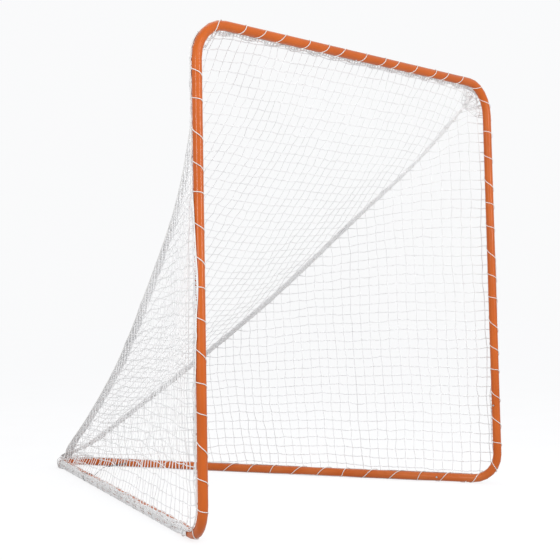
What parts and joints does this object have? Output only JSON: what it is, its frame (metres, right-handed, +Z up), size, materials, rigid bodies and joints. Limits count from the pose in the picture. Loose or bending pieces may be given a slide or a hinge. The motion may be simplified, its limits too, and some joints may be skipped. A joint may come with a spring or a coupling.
{
  "type": "lacrosse goal",
  "caption": "Free-standing lacrosse goal: a square-mouthed round-tube frame on a V-shaped base that meets in a rounded point, with a laced-on three-sided white net.",
  "frame": {"origin": "on the ground under the middle of the goal's box", "axes": "+Z up; -Y is the open mouth, +Y the rounded rear point of the base; +X is the right-hand post seen from in front"},
  "size_m": [1.9326, 2.1536, 1.904],
  "materials": {
    "powder_coat": "semi-gloss orange powder coat",
    "bright_steel": "zinc plated",
    "dark_steel": "dull galvanised",
    "net_twine": "twisted white twine",
    "white_cord": "braided white cord"
  },
  "bodies": {
    "goal": {"back_net": "net_twine", "crossbar_button_spring": "bright_steel", "crossbar_lacing": "white_cord", "left_foot_tube": "powder_coat", "left_front_rail_button_spring": "bright_steel", "left_post_button_spring": "bright_steel", "left_post_lacing": "white_cord", "left_rail_lacing": "white_cord", "left_rail_tube": "powder_coat", "left_rear_rail_button_spring": "bright_steel", "left_seam_cord": "white_cord", "left_side_net": "net_twine", "left_upper_tube": "powder_coat", "net_border_rope": "white_cord", "rear_tube": "powder_coat", "right_foot_tube": "powder_coat", "right_front_rail_button_spring": "bright_steel", "right_post_button_spring": "bright_steel", "right_post_lacing": "white_cord", "right_rail_lacing": "white_cord", "right_rail_tube": "powder_coat", "right_rear_rail_button_spring": "bright_steel", "right_seam_cord": "white_cord", "right_side_net": "net_twine", "right_upper_tube": "powder_coat", "tie_cable": "dark_steel", "tie_cord_loop": "white_cord", "tie_hook": "dark_steel"},
    "crossbar_button": {"crossbar_snap_button": "bright_steel"},
    "left_post_button": {"left_post_snap_button": "bright_steel"},
    "left_front_rail_button": {"left_front_rail_snap_button": "bright_steel"},
    "left_rear_rail_button": {"left_rear_rail_snap_button": "bright_steel"},
    "right_post_button": {"right_post_snap_button": "bright_steel"},
    "right_front_rail_button": {"right_front_rail_snap_button": "bright_steel"},
    "right_rear_rail_button": {"right_rear_rail_snap_button": "bright_steel"}
  },
  "joints": [
    {"name": "crossbar_button_press", "type": "slide", "parent": "goal", "child": "crossbar_button", "axis": [0, 0, 1], "range_m": [0, 0.0065], "stiffness_N_per_m": 1200, "springref_m": -0.004, "deforming": ["crossbar_button_spring"]},
    {"name": "left_post_button_press", "type": "slide", "parent": "goal", "child": "left_post_button", "axis": [-1, 0, 0], "range_m": [0, 0.0065], "stiffness_N_per_m": 1200, "springref_m": -0.004, "deforming": ["left_post_button_spring"]},
    {"name": "left_front_rail_button_press", "type": "slide", "parent": "goal", "child": "left_front_rail_button", "axis": [-0.9221, 0.3869, 0], "range_m": [0, 0.0065], "stiffness_N_per_m": 1200, "springref_m": -0.004, "deforming": ["left_front_rail_button_spring"]},
    {"name": "left_rear_rail_button_press", "type": "slide", "parent": "goal", "child": "left_rear_rail_button", "axis": [-0.9221, 0.3869, 0], "range_m": [0, 0.0065], "stiffness_N_per_m": 1200, "springref_m": -0.004, "deforming": ["left_rear_rail_button_spring"]},
    {"name": "right_post_button_press", "type": "slide", "parent": "goal", "child": "right_post_button", "axis": [1, 0, 0], "range_m": [0, 0.0065], "stiffness_N_per_m": 1200, "springref_m": -0.004, "deforming": ["right_post_button_spring"]},
    {"name": "right_front_rail_button_press", "type": "slide", "parent": "goal", "child": "right_front_rail_button", "axis": [0.9221, 0.3869, 0], "range_m": [0, 0.0065], "stiffness_N_per_m": 1200, "springref_m": -0.004, "deforming": ["right_front_rail_button_spring"]},
    {"name": "right_rear_rail_button_press", "type": "slide", "parent": "goal", "child": "right_rear_rail_button", "axis": [0.9221, 0.3869, 0], "range_m": [0, 0.0065], "stiffness_N_per_m": 1200, "springref_m": -0.004, "deforming": ["right_rear_rail_button_spring"]}
  ]
}
